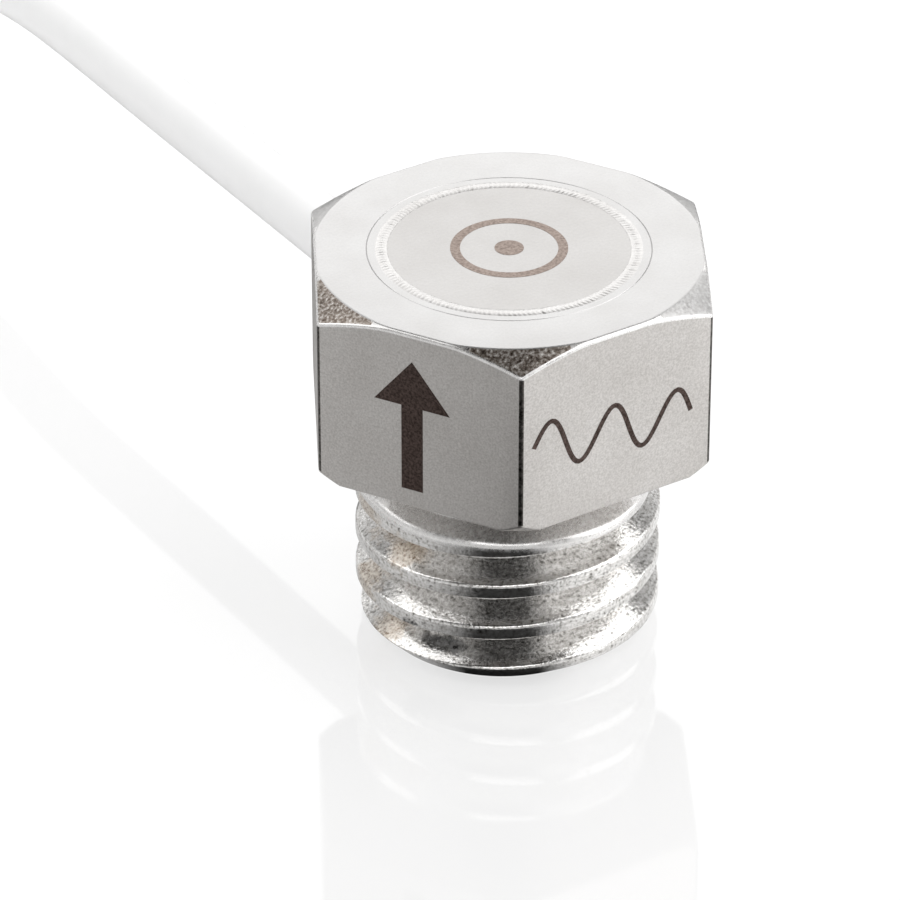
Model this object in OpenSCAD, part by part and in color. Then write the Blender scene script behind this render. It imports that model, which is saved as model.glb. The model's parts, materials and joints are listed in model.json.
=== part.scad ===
// Stud-mounted vibration sensor with a sealed hexagonal head and an integral cable.
// The stud stands on its end face at z = 0 and the cable leaves the head along +Y.
// All lengths are in millimetres.

/* [Head] */
// Width of the hexagon across its flats
head_af = 7.94; // [7:0.02:9.5]
// Height of the hexagonal head, from its seat to its top face
head_h = 4.06; // [3.4:0.02:5]
// Width of the small flat that breaks each upright corner of the hexagon
corner_break = 0.1; // [0.04:0.02:0.3]
// Width of the turned top face, where its chamfer starts
top_face_d = 7.96; // [7:0.02:8.6]
// Angle of the chamfer round the top face, measured from the face
top_chamfer_deg = 30; // [15:1:45]
// Width of the turned seat under the head, where its chamfer starts
seat_d = 8.66; // [7.6:0.02:8.9]
// Angle of the chamfer round the seat, measured from the seat
seat_chamfer_deg = 45; // [20:1:60]

/* [Stud] */
// Outer diameter of the mounting stud
stud_d = 6.35; // [5:0.05:6.6]
// Length of the stud below the seat
stud_len = 4.57; // [3:0.01:8]
// Height and width of the chamfer at the end of the stud
stud_chamfer = 0.38; // [0.1:0.02:0.8]
// Length of the narrow neck between the stud's full width and the seat
neck_len = 0.82; // [0.5:0.02:1]
// Depth of the neck below the surface of the stud
neck_cut = 0.42; // [0.2:0.02:0.6]
// Length of the sloping shoulder below the neck
shoulder_len = 0.3; // [0.1:0.02:0.5]
// Distance from the stud's surface out to the edge of the shallow relief in the seat
relief_gap = 0.12; // [0.06:0.01:0.3]

/* [Cavity and cover] */
// Diameter of the cavity that holds the sensing element
cavity_d = 4.4; // [4.2:0.05:4.8]
// Thickness of metal left between the seat plane and the cavity's floor
floor_t = 0.1; // [0.05:0.01:0.25]
// Width of the ledge that the cover rests on
ledge_w = 0.4; // [0.2:0.02:0.5]
// Thickness of the cover disc
cover_t = 0.4; // [0.2:0.02:0.7]
// Radial clearance between the cover and its counterbore
cover_clear = 0.02; // [0.01:0.01:0.05]
// Width of the welded seam across the edge of the cover
weld_w = 0.24; // [0.14:0.02:0.34]
// Depth of the welded seam below the top face
weld_depth = 0.08; // [0.04:0.01:0.15]
// Height of the weld above the top face
weld_crown = 0.03; // [0.01:0.01:0.06]
// Distance from the cover's edge out to the fine turned line around the weld
line_gap = 0.3; // [0.2:0.02:0.5]
// Width of the fine turned line
line_w = 0.05; // [0.02:0.01:0.1]

/* [Cable] */
// Outer diameter of the cable
cable_d = 1.35; // [1.2:0.05:1.6]
// Height of the cable's centre line above the seat
cable_up = 1.01; // [0.9:0.01:1.6]
// Thickness of the cable's outer jacket
jacket_t = 0.145; // [0.1:0.005:0.16]
// Thickness of the braided shield
braid_t = 0.08; // [0.05:0.01:0.1]
// Diameter of one insulated lead
lead_d = 0.26; // [0.2:0.01:0.28]
// Diameter of the bare strands in a lead
core_d = 0.16; // [0.1:0.01:0.18]
// Radial clearance between the cable and its hole
cable_clear = 0.045; // [0.02:0.005:0.1]
// Length of the ring that clamps the braided shield
ferrule_len = 0.5; // [0.3:0.05:0.6]
// Distance from the cavity's wall to the ring
ferrule_set = 0.06; // [0.02:0.01:0.2]
// Depth of the sealing compound round the cable
seal_depth = 0.5; // [0.3:0.05:0.7]
// Width of the sealing compound round the cable
seal_w = 0.3; // [0.15:0.01:0.35]
// Height of the sealing compound's collar above the flat
seal_proud = 0.1; // [0.05:0.01:0.3]

/* [Circuit board] */
// Thickness of the ceramic board
board_t = 0.25; // [0.15:0.01:0.35]
// Radial clearance between the board and the cavity's wall
board_clear = 0.05; // [0.02:0.01:0.15]
// Thickness of the adhesive under the board
board_glue_t = 0.04; // [0.02:0.01:0.08]
// Margin between the adhesive and the board's edge
board_glue_in = 0.1; // [0.05:0.01:0.3]
// Thickness of the metal tracks and pads
pad_t = 0.02; // [0.02:0.005:0.04]
// Diameter of a pad that takes a lead
lead_pad_d = 0.42; // [0.3:0.02:0.5]
// Distance between the pads that take the leads
lead_pad_pitch = 0.68; // [0.6:0.01:0.75]
// Distance from the board's centre to the pads that take the leads
lead_pad_y = 1; // [0.9:0.05:1.2]
// Diameter of a pad that takes a bond wire
bond_pad_d = 0.2; // [0.14:0.02:0.26]
// Distance between the pads that take the bond wires
bond_pad_pitch = 0.36; // [0.32:0.01:0.45]
// Distance from the board's centre to the pads that take the bond wires
bond_pad_y = 0.25; // [0.2:0.05:0.4]
// Height of a solder joint
solder_h = 0.16; // [0.1:0.01:0.2]
// Diameter of the gold bond wires
wire_d = 0.05; // [0.04:0.005:0.07]
// Height of a bond wire's loop above its upper pad
wire_loop = 0.25; // [0.15:0.01:0.4]

/* [Sensing element] */
// Width of the silicon element
die_w = 1.6; // [1.4:0.05:1.8]
// Length of the silicon element
die_l = 1.2; // [1:0.05:1.3]
// Thickness of the base wafer
base_t = 0.25; // [0.15:0.01:0.35]
// Thickness of the middle wafer with the hinged plate
core_t = 0.25; // [0.15:0.01:0.35]
// Thickness of the cap wafer
cap_t = 0.22; // [0.15:0.01:0.35]
// Depth of the recess over and under the hinged plate
plate_gap = 0.05; // [0.02:0.01:0.08]
// Length of the shelf that the cap leaves free for the pads
shelf_l = 0.34; // [0.28:0.02:0.4]
// Width of the wafer's rim round the hinged plate
rim_w = 0.16; // [0.1:0.01:0.2]
// Width of the slot round the hinged plate
slot_w = 0.05; // [0.03:0.01:0.08]
// Thickness of the hinge
hinge_t = 0.06; // [0.04:0.01:0.1]
// Width of the hinge
hinge_w = 0.3; // [0.1:0.02:0.5]
// Thickness of the adhesive under the element
die_glue_t = 0.03; // [0.02:0.01:0.06]
// Distance from the board's centre back to the element's centre
die_back = 0.85; // [0.75:0.05:0.95]
// Diameter of a pad on the element
die_pad_d = 0.16; // [0.1:0.01:0.2]

/* [Coil and cable end] */
// Diameter of the coil at the middle of its turns
coil_d = 15.5; // [14:0.5:18]
// Turns side by side in the coil
coil_wide = 3; // [2:1:4]
// Layers of turns in the coil
coil_high = 4; // [2:2:6]
// Distance from the sensor's axis to the coil's centre
coil_y = 30; // [30:1:50]
// Length of the straight run at each end of the coil, outside its turns
coil_lead = 0.2; // [0.1:0.1:1]
// Thickness of the tie round the coil
tie_t = 0.2; // [0.1:0.05:0.5]
// Width of the tie, as an angle of the coil
tie_deg = 14; // [8:1:30]
// Length of the shrink sleeve at the cable's end
sleeve_len = 6; // [4:0.5:10]
// Wall of the shrink sleeve over the jacket
sleeve_t = 0.25; // [0.1:0.05:0.5]
// Length of the sleeve that grips the jacket
sleeve_grip = 3; // [2:0.5:4]
// Length of a tinned lead tip
tip_len = 2; // [1:0.5:4]
// Distance between the ends of the leads
tail_pitch = 0.8; // [0.7:0.1:1.5]

/* [Hidden] */
$fn = 96;
over = 1;

// Levels of the head
seat_z = stud_len;
top_z = seat_z + head_h;
floor_z = seat_z + floor_t;
relief_depth = floor_t / 2;
ledge_z = top_z - cover_t;
flat_y = head_af / 2;
corner_r = head_af / sqrt(3);

// Cavity, cover and weld
cavity_r = cavity_d / 2;
cover_r = cavity_r + ledge_w;
counterbore_r = cover_r + cover_clear;
line_r = cover_r + line_gap;

// Cable and the hole it passes through
cable_r = cable_d / 2;
cable_z = seat_z + cable_up;
hole_r = cable_r + cable_clear;
braid_out_r = cable_r - jacket_t;
braid_in_r = braid_out_r - braid_t;
lead_r = lead_d / 2;
core_r = core_d / 2;
lead_ring_r = braid_in_r - lead_r - 0.01;
lead_off = lead_ring_r / sqrt(2);
wall_y = sqrt(cavity_r * cavity_r - hole_r * hole_r);
ferrule_y = cavity_r + ferrule_set;
jacket_y = ferrule_y + ferrule_len;
free_y = flat_y + seal_proud;

// Levels of the board and the sensing element
board_z = floor_z + board_glue_t;
board_top = board_z + board_t;
board_r = cavity_r - board_clear;
track_top = board_top + pad_t;
solder_top = track_top + solder_h;
die_z = board_top + die_glue_t;
core_z = die_z + base_t;
cap_z = core_z + core_t;
cap_l = die_l - shelf_l;
shelf_y = -die_back + die_l / 2 - shelf_l / 2;
die_pad_top = cap_z + pad_t;
wire_r = wire_d / 2;

// Places of the four leads, from -X to +X, and their colours
lead_side = [-1, -1, 1, 1];
lead_lift = [1, -1, -1, 1];
pad_step = [-1.5, -0.5, 0.5, 1.5];
lead_colour = ["firebrick", "#202020", "seagreen", "whitesmoke"];

// Coil: the cable enters the outermost turn of the top layer and leaves from the lowest
coil_r = coil_d / 2;
turn_r = coil_r + (coil_wide - 1) / 2 * cable_d;
coil_x = -turn_r;
coil_z = tie_t;
enter_z = coil_z + (coil_high - 0.5) * cable_d;
leave_z = coil_z + cable_r;
tail_x = coil_x - turn_r;

// A straight run on a tangent of the outermost turn leaves the turns after this length
tangent_run = 2 * sqrt(turn_r * cable_r);
lead_in_y = coil_y - tangent_run - coil_lead;

// The straight runs are slimmer than the turns by this, so that they end inside them
run_ease = 0.02;
run_r = cable_r - run_ease;

// Far end of the cable, lying beside the coil
sleeve_r = cable_r + sleeve_t;
sleeve_y = 20;
sleeve_end_y = sleeve_y - sleeve_len;
grip_y = sleeve_y - sleeve_grip;
tail_z = sleeve_r;
tip_y = 5;
fan_y = (sleeve_end_y + tip_y + tip_len) / 2 - 1;
tail_step = [-2, -1, 1, 2];

// Route of the cable from the sensor to the coil
cable_route = [[0, free_y, cable_z], [0, 8, cable_z], [0, 14, cable_z], [0, 19, cable_z],
               [0, 22, (cable_z + enter_z) / 2], [0, lead_in_y, enter_z]];

// Route of the cable from the coil to its far end
tail_route = [[tail_x, lead_in_y, leave_z], [tail_x, 23, tail_z], [tail_x, sleeve_y, tail_z],
              [tail_x, grip_y, tail_z]];

// Point at share t of the smooth curve between points b and c, with a and d beyond them
function blend(a, b, c, d, t) =
    0.5 * (2 * b + (c - a) * t + (2 * a - 5 * b + 4 * c - d) * t * t
           + (3 * b - a - 3 * c + d) * t * t * t);

// Smooth path through the points p with n steps between neighbours
function smooth_path(p, n) =
    [for (i = [0 : len(p) - 2], k = [0 : n - 1])
        blend(p[max(i - 1, 0)], p[i], p[i + 1], p[min(i + 2, len(p) - 1)], k / n),
     p[len(p) - 1]];

// Path from a to b in n steps that runs along Y at both ends and eases across between them
function ease_path(a, b, n) =
    [for (k = [0 : n])
        let (t = k / n, s = t * t * (3 - 2 * t))
        [a.x + (b.x - a.x) * s, a.y + (b.y - a.y) * t, a.z + (b.z - a.z) * s]];

function unit(v) = v / norm(v);

// Direction of path p at point i, held along the first and last steps
function heading(p, i) = unit(p[min(i + 1, len(p) - 1)] - p[max(i - 1, 0)]);

// Square axis to heading h that stays as level as it can
function level_axis(h) = abs(h.z) > 0.95 ? unit(cross([1, 0, 0], h)) : unit(cross([0, 0, 1], h));

// Round tube of radius r along path p, flat at both ends and square to the given end headings
module tube(p, r, sides, start, finish) {
    n = len(p);
    head = [for (i = [0 : n - 1]) i == 0 ? start : i == n - 1 ? finish : heading(p, i)];
    side = [for (i = [0 : n - 1]) level_axis(head[i])];
    points = [for (i = [0 : n - 1], k = [0 : sides - 1])
        let (a = 360 * (k + 0.5) / sides)
        p[i] + r * (cos(a) * side[i] + sin(a) * cross(head[i], side[i]))];
    walls = [for (i = [0 : n - 2], k = [0 : sides - 1], t = [0, 1])
        let (a = i * sides + k, b = i * sides + (k + 1) % sides)
        t == 0 ? [a, a + sides, b] : [b, a + sides, b + sides]];
    ends = [[for (k = [0 : sides - 1]) k],
            [for (k = [sides - 1 : -1 : 0]) (n - 1) * sides + k]];
    polyhedron(points, concat(walls, ends));
}

// Round bar or ring along Y, from y0 to y1, on the cable's centre line
module cable_ring(y0, y1, r_out, r_in) {
    translate([0, y1, cable_z])
        rotate([90, 0, 0])
            difference() {
                cylinder(r = r_out, h = y1 - y0);
                if (r_in > 0)
                    translate([0, 0, -over])
                        cylinder(r = r_in, h = y1 - y0 + 2 * over);
            }
}

// Block of width w and length l, centred on the sensing element, from z0 upwards
module die_block(w, l, z0, h) {
    translate([-w / 2, -die_back - l / 2, z0])
        cube([w, l, h]);
}

// Outline of the hexagon with a small flat on each corner
module hexagon() {
    reach = corner_r - corner_break / 2 / sqrt(3);
    polygon([for (k = [0 : 5], s = [-1, 1])
        let (a = 60 * k)
        [reach * cos(a) - s * corner_break / 2 * sin(a),
         reach * sin(a) + s * corner_break / 2 * cos(a)]]);
}

// Turned form of the head, wider than the hexagon between its two chamfers
module turned_head() {
    wide = corner_r + over;
    top_drop = (wide - top_face_d / 2) * tan(top_chamfer_deg);
    seat_rise = (wide - seat_d / 2) * tan(seat_chamfer_deg);
    rotate_extrude()
        polygon([[0, seat_z], [seat_d / 2, seat_z], [wide, seat_z + seat_rise],
                 [wide, top_z - top_drop], [top_face_d / 2, top_z], [0, top_z]]);
}

// Section of the welded seam: sunk below the top face and rounded above it
module weld_section() {
    polygon(concat([[cover_r + weld_w / 2, top_z], [cover_r, top_z - weld_depth],
                    [cover_r - weld_w / 2, top_z]],
                   [for (k = [1 : 7])
                       let (u = k / 4 - 1)
                       [cover_r + u * weld_w / 2, top_z + weld_crown * (1 - u * u)]]));
}

// Half section of the stud: chamfered end, full width, shoulder and neck
module stud_section() {
    stud_r = stud_d / 2;
    neck_r = stud_r - neck_cut;
    neck_z = seat_z - neck_len;
    polygon([[0, 0], [stud_r - stud_chamfer, 0], [stud_r, stud_chamfer],
             [stud_r, neck_z - shoulder_len], [neck_r, neck_z],
             [neck_r, floor_z], [0, floor_z]]);
}

module housing() {
    color("silver")
    difference() {
        union() {
            difference() {
                intersection() {
                    turned_head();
                    translate([0, 0, seat_z])
                        linear_extrude(head_h)
                            hexagon();
                }
                translate([0, 0, seat_z - over])
                    cylinder(r = stud_d / 2 + relief_gap, h = over + relief_depth);
            }
            rotate_extrude()
                stud_section();
        }
        translate([0, 0, floor_z])
            cylinder(r = cavity_r, h = head_h);
        translate([0, 0, ledge_z])
            cylinder(r = counterbore_r, h = cover_t + over);
        rotate_extrude()
            weld_section();
        rotate_extrude()
            polygon([[line_r - line_w / 2, top_z + line_w / 2], [line_r, top_z - line_w / 2],
                     [line_r + line_w / 2, top_z + line_w / 2]]);
        cable_ring(0, flat_y + over, hole_r, 0);
        cable_ring(flat_y - seal_depth, flat_y + over, cable_r + seal_w, 0);
    }
}

module cover_disc() {
    color("gainsboro")
    difference() {
        translate([0, 0, ledge_z])
            cylinder(r = cover_r, h = cover_t);
        rotate_extrude()
            weld_section();
    }
}

module weld_bead() {
    color("whitesmoke")
    rotate_extrude()
        weld_section();
}

module board_adhesive() {
    color("goldenrod")
    translate([0, 0, floor_z])
        cylinder(r = board_r - board_glue_in, h = board_glue_t);
}

module header_board() {
    color("ivory")
    translate([0, 0, board_z])
        cylinder(r = board_r, h = board_t);
}

// One metal track from a lead's pad to a bond wire's pad
module board_track(lead_x, bond_x) {
    run = [lead_x - bond_x, lead_pad_y - bond_pad_y];
    translate([0, 0, board_top])
        linear_extrude(pad_t) {
            translate([lead_x, lead_pad_y])
                circle(d = lead_pad_d);
            translate([bond_x, bond_pad_y])
                circle(d = bond_pad_d);
            translate([bond_x, bond_pad_y])
                rotate(atan2(run.y, run.x))
                    translate([0, -bond_pad_d / 4])
                        square([norm(run), bond_pad_d / 2]);
        }
}

module board_tracks() {
    color("gold")
    for (s = pad_step)
        board_track(s * lead_pad_pitch, s * bond_pad_pitch);
}

module die_adhesive() {
    color("goldenrod")
    die_block(die_w, die_l, board_top, die_glue_t);
}

// Width and length of the well that the hinged plate swings in
function well_w() = die_w - 2 * rim_w;
function well_l() = cap_l - 2 * rim_w;

// Well of the hinged plate, centred under the cap
module plate_well(margin, z0, h) {
    translate([-well_w() / 2 + margin, -die_back - die_l / 2 + rim_w + margin, z0])
        cube([well_w() - 2 * margin, well_l() - 2 * margin, h]);
}

module die_base() {
    color("dimgray")
    difference() {
        die_block(die_w, die_l, die_z, base_t);
        plate_well(0, core_z - plate_gap, plate_gap + over);
    }
}

module die_core() {
    color("slategray") {
        difference() {
            die_block(die_w, die_l, core_z, core_t);
            plate_well(0, core_z - over, core_t + 2 * over);
        }
        plate_well(slot_w, core_z, core_t);
        translate([-hinge_w / 2, -die_back - die_l / 2 + rim_w + well_l() - 1.5 * slot_w,
                   core_z + core_t / 2 - hinge_t / 2])
            cube([hinge_w, 2 * slot_w, hinge_t]);
    }
}

module die_cap() {
    color("darkgray")
    difference() {
        translate([-die_w / 2, -die_back - die_l / 2, cap_z])
            cube([die_w, cap_l, cap_t]);
        plate_well(0, cap_z - over, plate_gap + over);
    }
}

module die_pads() {
    color("gold")
    for (s = pad_step)
        translate([s * bond_pad_pitch, shelf_y, cap_z])
            cylinder(d = die_pad_d, h = pad_t);
}

// One wire from a pad on the sensing element, over in a loop, down to its pad on the board
module bond_wire(x) {
    loop_z = die_pad_top + wire_loop;
    mid_y = (shelf_y + bond_pad_y) / 2;
    tube([[x, shelf_y, die_pad_top], [x, shelf_y, loop_z - 2 * wire_d],
          [x, shelf_y + 2 * wire_d, loop_z], [x, mid_y, loop_z],
          [x, bond_pad_y - wire_d, track_top + wire_loop], [x, bond_pad_y, track_top + 2 * wire_d],
          [x, bond_pad_y, track_top]],
         wire_r, 8, [0, 0, 1], [0, 0, -1]);
}

module bond_wires() {
    color("gold")
    for (s = pad_step)
        bond_wire(s * bond_pad_pitch);
}

module solder_joints() {
    color("lightgray")
    for (s = pad_step)
        translate([s * lead_pad_pitch, lead_pad_y, track_top])
            cylinder(d1 = lead_pad_d, d2 = core_d, h = solder_h);
}

// Height at which a lead's insulation ends above its solder joint
function strip_z() = solder_top + core_d;

// One insulated lead, from the face where the cable starts to the end of its insulation
module lead(i) {
    x0 = lead_side[i] * lead_off;
    z0 = cable_z + lead_lift[i] * lead_off;
    x1 = pad_step[i] * lead_pad_pitch;
    color(lead_colour[i])
    tube(smooth_path([[x0, free_y, z0], [x0, ferrule_y, z0], [x0, wall_y, z0],
                      [(x0 + x1) / 2, (wall_y + lead_pad_y) / 2 + lead_d / 2, z0],
                      [x1, lead_pad_y + lead_d / 3, max(z0, strip_z() + lead_d) - lead_d / 3],
                      [x1, lead_pad_y, strip_z()]], 3),
         lead_r, 8, [0, -1, 0], [0, 0, -1]);
}

module lead_red() { lead(0); }

module lead_black() { lead(1); }

module lead_green() { lead(2); }

module lead_white() { lead(3); }

module lead_tips() {
    color("lightgray")
    for (s = pad_step)
        translate([s * lead_pad_pitch, lead_pad_y, solder_top])
            cylinder(d = core_d, h = strip_z() - solder_top);
}

module shield_braid() {
    color("lightgray")
    cable_ring(ferrule_y, free_y, braid_out_r, braid_in_r);
}

module shield_ferrule() {
    color("darkgoldenrod")
    cable_ring(ferrule_y, jacket_y, hole_r, braid_out_r);
}

module jacket_end() {
    color("white")
    cable_ring(jacket_y, free_y, cable_r, braid_out_r);
}

module cable_seal() {
    color("dimgray")
    difference() {
        union() {
            cable_ring(flat_y - seal_depth, flat_y, cable_r + seal_w, 0);
            translate([0, flat_y, cable_z])
                rotate([-90, 0, 0])
                    cylinder(r1 = cable_r + seal_w, r2 = cable_r + seal_w / 3, h = seal_proud);
        }
        cable_ring(flat_y - seal_depth - over, free_y + over, cable_r, 0);
    }
}

module cable_jacket() {
    color("white")
    tube(smooth_path(cable_route, 2), cable_r, 8, [0, 1, 0], [0, 1, 0]);
}

// Rounded section of the coil, grown by margin on all sides
module coil_section(margin) {
    w = coil_wide * cable_d / 2;
    h = coil_high * cable_d;
    r = cable_r + margin;
    translate([coil_r - w - margin, coil_z + cable_r])
        square([2 * (w + margin), h - cable_d]);
    translate([coil_r - w + cable_r, coil_z - margin])
        square([2 * w - cable_d, h + 2 * margin]);
    for (s = [-1, 1], z = [cable_r, h - cable_r])
        translate([coil_r + s * (w - cable_r), coil_z + z])
            circle(r = r);
}

module cable_coil() {
    color("white") {
        translate([coil_x, coil_y, 0])
            rotate_extrude()
                coil_section(0);
        translate([0, lead_in_y, enter_z])
            rotate([-90, 0, 0])
                cylinder(r = run_r, h = coil_y - lead_in_y);
        translate([tail_x, lead_in_y, leave_z])
            rotate([-90, 0, 0])
                cylinder(r = run_r, h = coil_y - lead_in_y);
    }
}

module coil_tie() {
    color("#303030")
    translate([coil_x, coil_y, 0])
        rotate(90 - tie_deg / 2)
            rotate_extrude(angle = tie_deg)
                difference() {
                    coil_section(tie_t);
                    coil_section(0);
                }
}

module cable_tail() {
    color("white")
    tube(smooth_path(tail_route, 2), cable_r, 8, [0, -1, 0], [0, -1, 0]);
}

module end_sleeve() {
    nose_r = braid_in_r + sleeve_t;
    color("#252525")
    translate([tail_x, sleeve_y, tail_z])
        rotate([90, 0, 0])
            rotate_extrude()
                polygon([[cable_r, 0], [sleeve_r, 0], [sleeve_r, sleeve_grip],
                         [nose_r, sleeve_grip + 2 * (sleeve_r - nose_r)], [nose_r, sleeve_len],
                         [braid_in_r, sleeve_len], [braid_in_r, sleeve_grip], [cable_r, sleeve_grip]]);
}

// One insulated lead at the far end, from inside the sleeve out to the floor
module tail_lead(i) {
    x0 = tail_x + lead_side[i] * lead_off;
    z0 = tail_z + lead_lift[i] * lead_off;
    x1 = tail_x + tail_step[i] * tail_pitch;
    color(lead_colour[i])
    tube(concat([[x0, grip_y, z0]],
                ease_path([x0, sleeve_end_y, z0], [x1, fan_y, lead_r], 8),
                [[x1, tip_y + tip_len, lead_r]]),
         lead_r, 8, [0, -1, 0], [0, -1, 0]);
}

module tail_red() { tail_lead(0); }

module tail_black() { tail_lead(1); }

module tail_green() { tail_lead(2); }

module tail_white() { tail_lead(3); }

module tail_shield() {
    r = lead_ring_r - lead_r - 0.01;
    color("lightgray")
    tube(concat([[tail_x, grip_y, tail_z]],
                ease_path([tail_x, sleeve_end_y, tail_z], [tail_x, fan_y, r], 8),
                [[tail_x, tip_y, r]]),
         r, 8, [0, -1, 0], [0, -1, 0]);
}

module tail_tips() {
    color("lightgray")
    for (s = tail_step)
        translate([tail_x + s * tail_pitch, tip_y + tip_len, lead_r])
            rotate([90, 0, 0])
                cylinder(r = core_r, h = tip_len);
}

housing();
cover_disc();
weld_bead();
board_adhesive();
header_board();
board_tracks();
die_adhesive();
die_base();
die_core();
die_cap();
die_pads();
bond_wires();
solder_joints();
lead_red();
lead_black();
lead_green();
lead_white();
lead_tips();
shield_braid();
shield_ferrule();
jacket_end();
cable_seal();
cable_jacket();
cable_coil();
coil_tie();
cable_tail();
end_sleeve();
tail_red();
tail_black();
tail_green();
tail_white();
tail_shield();
tail_tips();
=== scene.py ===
# %% [markdown]
# # A stud-mounted vibration sensor
# The CAD frame gives every piece its size and place. This lesson gives the pieces that show
# their finish: the milled and turned steel body with its thread, the welded cover, the cable
# and its coil, and then the floor and the light of a small product studio.

# %% Load the CAD frame
import json
import math
import bmesh
import bpy
from mathutils import Matrix, Vector, noise

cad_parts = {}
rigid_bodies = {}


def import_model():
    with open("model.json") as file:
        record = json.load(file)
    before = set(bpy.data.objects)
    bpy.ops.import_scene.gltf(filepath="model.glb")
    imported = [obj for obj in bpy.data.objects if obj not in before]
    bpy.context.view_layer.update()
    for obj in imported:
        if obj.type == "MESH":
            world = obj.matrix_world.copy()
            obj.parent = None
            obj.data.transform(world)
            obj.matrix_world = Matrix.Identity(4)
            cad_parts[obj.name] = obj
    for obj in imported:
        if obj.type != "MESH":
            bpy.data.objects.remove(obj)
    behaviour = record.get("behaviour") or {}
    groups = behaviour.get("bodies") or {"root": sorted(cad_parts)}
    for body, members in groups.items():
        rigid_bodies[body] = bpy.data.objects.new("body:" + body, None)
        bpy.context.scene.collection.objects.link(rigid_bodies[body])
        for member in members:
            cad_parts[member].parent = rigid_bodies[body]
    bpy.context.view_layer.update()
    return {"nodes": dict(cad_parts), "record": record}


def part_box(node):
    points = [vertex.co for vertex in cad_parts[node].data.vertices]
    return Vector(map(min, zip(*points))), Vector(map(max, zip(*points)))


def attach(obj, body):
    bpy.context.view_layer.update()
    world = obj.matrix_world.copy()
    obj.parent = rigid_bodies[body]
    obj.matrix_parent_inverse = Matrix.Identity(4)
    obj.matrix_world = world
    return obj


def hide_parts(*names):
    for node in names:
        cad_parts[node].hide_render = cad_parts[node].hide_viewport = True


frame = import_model()
nodes = frame["nodes"]
mounts = {mount["name"]: mount for mount in frame["record"]["mounts"]}
MM = 0.001


def add_object(name, data):
    """A new object at the origin, linked to the scene."""
    thing = bpy.data.objects.new(name, data)
    bpy.context.scene.collection.objects.link(thing)
    return thing


print("CAD nodes:", len(nodes))

# %% [markdown]
# The camera comes first, because the cable's unseen length has to stay out of its view. The
# photograph was taken with a long lens from some way off, looking about 30 degrees down, so
# the camera is turned about the middle of the top face and then aimed a little below it and to
# its left, to frame the whole part.

# %% Camera
body_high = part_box("housing")[1]
TOP_CENTRE = Vector((0, 0, body_high.z))
CAMERA_TURN = math.radians(-123.295)
CAMERA_RISE = math.radians(29.988)
CAMERA_DISTANCE = 120 * MM
AIM_LEFT = 1.176 * MM
AIM_DOWN = 4.114 * MM
SENSOR_WIDTH = 36
LENS = 236.45


def direction(turn, rise):
    """Unit vector at a turn about Z and a rise above the floor."""
    level = math.cos(rise)
    return Vector((level * math.cos(turn), level * math.sin(turn), math.sin(rise)))


to_camera = direction(CAMERA_TURN, CAMERA_RISE)
camera_right = Vector((-math.sin(CAMERA_TURN), math.cos(CAMERA_TURN), 0))
camera_up = to_camera.cross(camera_right)
aim = TOP_CENTRE - camera_right * AIM_LEFT - camera_up * AIM_DOWN

camera = add_object("camera", bpy.data.cameras.new("camera"))
camera.location = TOP_CENTRE + to_camera * CAMERA_DISTANCE
camera.rotation_euler = (aim - camera.location).to_track_quat("-Z", "Y").to_euler()
camera.data.sensor_width = SENSOR_WIDTH
camera.data.lens = LENS
camera.data.clip_start = 0.005
camera.data.clip_end = 10
bpy.context.scene.camera = camera
print("camera at", [round(x, 4) for x in camera.location])

# %% [markdown]
# The cable is one open curve with a round section. The first route runs straight out of the
# flat and eases down to the top of the coil, and the last one runs along the floor from the
# coil to the sleeve. Both repeat the points of the CAD model. The coil between them
# is a loop: three turns side by side in each of four layers, every turn easing over to the next
# slot in its last sixth.

# %% Cable route
jacket_low, jacket_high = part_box("jacket_end")
CABLE_R = (jacket_high.x - jacket_low.x) / 2
CABLE_D = 2 * CABLE_R
CABLE_EXIT = Vector((0, jacket_high.y, (jacket_low.z + jacket_high.z) / 2))
COIL_R = 7.75 * MM
COIL_Y = 30 * MM
COIL_LEAD = 0.2 * MM
COIL_BOTTOM = 0.2 * MM
COIL_WIDE = 3
COIL_HIGH = 4
COIL_TURNS = COIL_WIDE * COIL_HIGH - 0.5
STEPS_PER_TURN = 36
ROUTE_STEPS = 4
EASE_START = 5 / 6
outer_r = COIL_R + (COIL_WIDE - 1) / 2 * CABLE_D
coil_x = -outer_r
tail_x = coil_x - outer_r
lead_in_y = (COIL_Y - 2 * math.sqrt(outer_r * CABLE_R) - COIL_LEAD) / MM
exit_z = CABLE_EXIT.z / MM
enter_z = (COIL_BOTTOM + (COIL_HIGH - 0.5) * CABLE_D) / MM
leave_z = (COIL_BOTTOM + CABLE_R) / MM
sleeve_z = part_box("end_sleeve")[1].z / 2 / MM

first_route = [(0, CABLE_EXIT.y / MM, exit_z), (0, 8, exit_z), (0, 14, exit_z), (0, 19, exit_z),
               (0, 22, (exit_z + enter_z) / 2), (0, lead_in_y, enter_z)]
last_route = [(tail_x / MM, lead_in_y, leave_z), (tail_x / MM, 23, sleeve_z),
              (tail_x / MM, 20, sleeve_z), (tail_x / MM, 17, sleeve_z)]


def smooth_route(points, steps):
    """Smooth path in metres through listed points in millimetres."""
    points = [Vector(p) * MM for p in points]
    path = []
    for i in range(len(points) - 1):
        a, b, c = points[max(i - 1, 0)], points[i], points[i + 1]
        d = points[min(i + 2, len(points) - 1)]
        for k in range(steps):
            t = k / steps
            path.append(0.5 * (2 * b + (c - a) * t + (2 * a - 5 * b + 4 * c - d) * t ** 2
                               + (3 * b - a - 3 * c + d) * t ** 3))
    return path + [points[-1]]


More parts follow.
